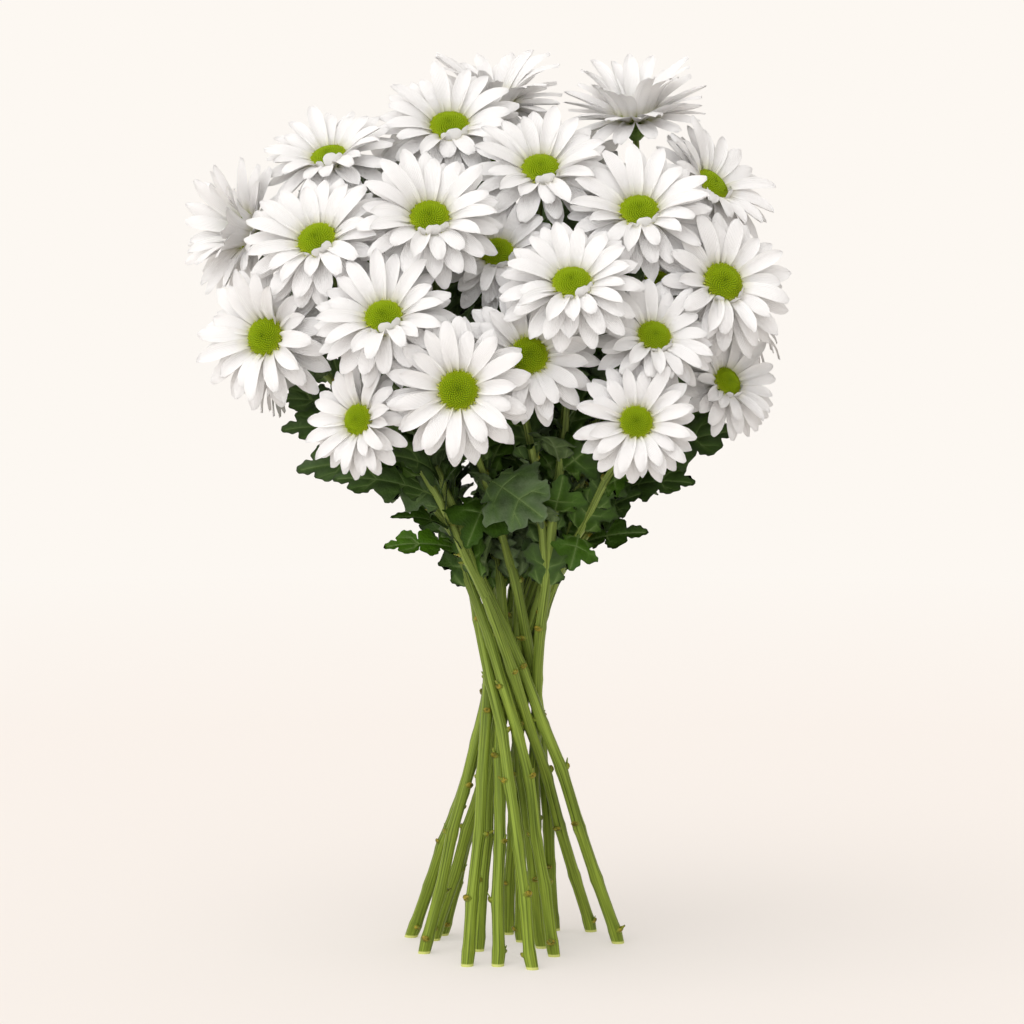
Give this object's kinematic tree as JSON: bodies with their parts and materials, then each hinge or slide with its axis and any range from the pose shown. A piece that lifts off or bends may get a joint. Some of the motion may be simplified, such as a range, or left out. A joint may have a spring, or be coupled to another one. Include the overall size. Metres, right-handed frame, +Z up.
{
  "type": "bunch of chrysanthemums",
  "caption": "Spiral bunch of white daisy chrysanthemums with green discs, leafy stems and splayed cut ends that it stands on.",
  "frame": {"origin": "centre of the bunch's box on the surface that the cut ends stand on", "axes": "+Z up along the bunch, the best side faces -Y, +X to its right"},
  "size_m": [0.2916, 0.2517, 0.4464],
  "materials": {
    "petal": "soft matt white petals with fine lengthwise ribs, faintly translucent",
    "stem": "satin yellow-green ribbed stems with pale leaf scars",
    "disc": "matt lime green, dotted with fine florets",
    "leaf": "satin dark green with pale veins, greyer beneath",
    "cut": "matt pale green pith of the cut ends"
  },
  "bodies": {
    "root": {"bloom_01": "petal", "bloom_02": "petal", "bloom_03": "petal", "bloom_04": "petal", "bloom_05": "petal", "bloom_06": "petal", "bloom_07": "petal", "bloom_08": "petal", "bloom_09": "petal", "bloom_10": "petal", "bloom_11": "petal", "bloom_12": "petal", "bloom_13": "petal", "bloom_14": "petal", "bloom_15": "petal", "bloom_16": "petal", "bloom_17": "petal", "bloom_18": "petal", "bloom_19": "petal", "bloom_20": "petal", "bloom_21": "petal", "bloom_22": "petal", "bloom_23": "petal", "bloom_24": "petal", "bloom_25": "petal", "bloom_26": "petal", "bloom_27": "petal", "bloom_28": "petal", "bloom_29": "petal", "bloom_30": "petal", "bloom_31": "petal", "bloom_32": "petal", "stem_01": "stem", "stem_02": "stem", "stem_03": "stem", "stem_04": "stem", "stem_05": "stem", "stem_06": "stem", "stem_07": "stem", "stem_08": "stem", "stem_09": "stem", "stem_10": "stem", "stem_11": "stem", "stem_12": "stem", "stem_13": "stem", "stem_14": "stem", "stem_15": "stem", "stem_16": "stem"}
  },
  "joints": []
}
